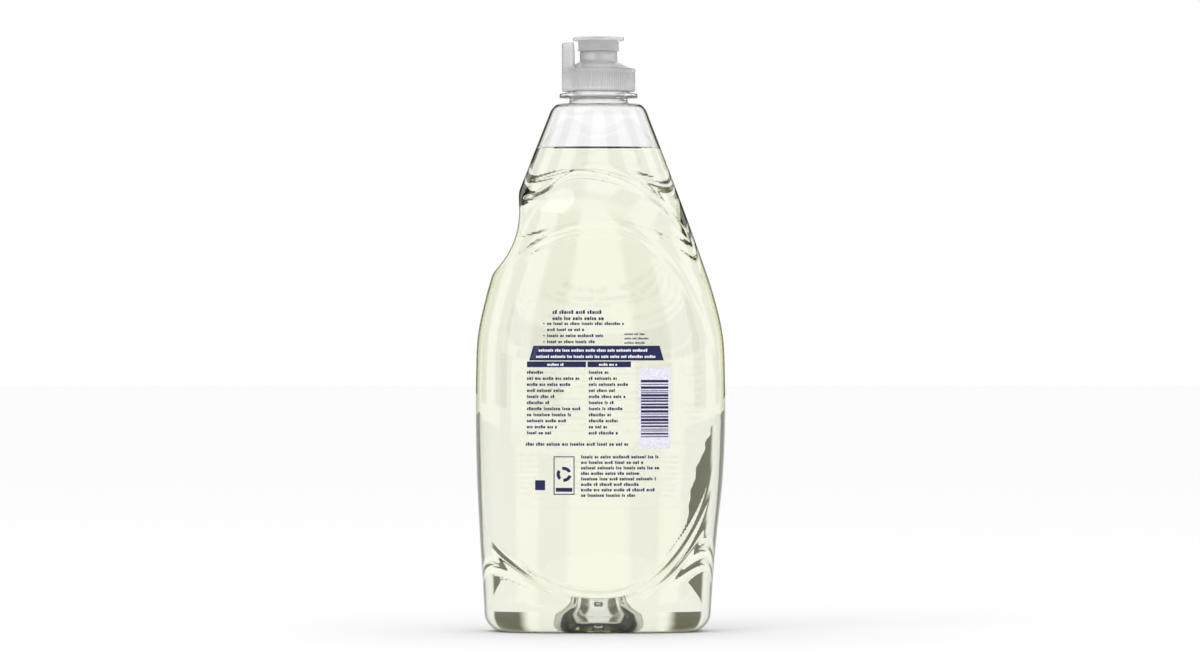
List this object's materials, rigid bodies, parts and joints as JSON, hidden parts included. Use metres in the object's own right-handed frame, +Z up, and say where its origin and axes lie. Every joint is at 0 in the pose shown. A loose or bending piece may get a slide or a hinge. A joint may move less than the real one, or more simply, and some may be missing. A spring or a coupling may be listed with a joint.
{
  "type": "dish soap bottle",
  "caption": "Clear oval dish soap bottle with a finger grip in one side, a screw closure and a push-pull spout, full of pale soap.",
  "frame": {"origin": "on the neck's axis, in the plane the foot stands on", "axes": "+Z up along the neck, -Y out of the labelled back, -X towards the finger grip"},
  "size_m": [0.1013, 0.055, 0.2402],
  "materials": {
    "clear_wall": "clear blown plastic, glossy",
    "pale_soap": "clear pale yellow-green liquid",
    "frosted_cap": "translucent natural polypropylene, satin",
    "label_film": "clear film with dark blue print"
  },
  "bodies": {
    "pack": {"bottle": "clear_wall", "soap": "pale_soap", "back_label": "label_film"},
    "cap": {"closure": "frosted_cap"},
    "nozzle": {"spout": "frosted_cap"}
  },
  "joints": [
    {"name": "closure_turn", "type": "hinge", "parent": "pack", "child": "cap", "pos_m": [0, 0, 0.2269], "axis": [0, 0, 1], "range_deg": [0, 540]},
    {"name": "spout_pull", "type": "slide", "parent": "cap", "child": "nozzle", "axis": [0, 0, 1], "range_m": [0, 0.0035]}
  ]
}
